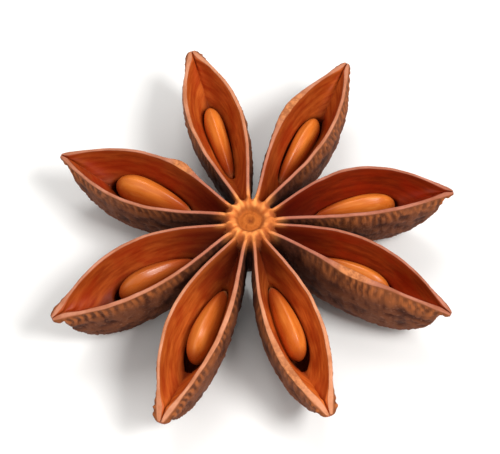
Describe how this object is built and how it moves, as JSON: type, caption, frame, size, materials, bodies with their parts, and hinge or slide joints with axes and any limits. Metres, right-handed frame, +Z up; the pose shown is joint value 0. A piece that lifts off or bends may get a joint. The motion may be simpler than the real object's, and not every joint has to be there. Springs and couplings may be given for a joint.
{
  "type": "star anise pod",
  "caption": "Dried star-shaped spice pod: open boat-shaped follicles around a short column, each split along its top with a flat glossy seed on edge inside.",
  "frame": {"origin": "middle of the short stalk's cut face, on the plane that the pod rests on", "axes": "+Z up along the column, out of the open side; the follicles lie around it, and the first points 11 degrees from +X towards +Y"},
  "size_m": [0.033, 0.0347, 0.0084],
  "materials": {
    "husk": "dry wrinkled reddish brown outside, satin orange brown inside the openings, pale tan rims",
    "seed": "smooth polished golden brown"
  },
  "bodies": {
    "root": {"husk": "husk", "seed_1": "seed", "seed_2": "seed", "seed_3": "seed", "seed_4": "seed", "seed_5": "seed", "seed_6": "seed", "seed_7": "seed", "seed_8": "seed"}
  },
  "joints": []
}
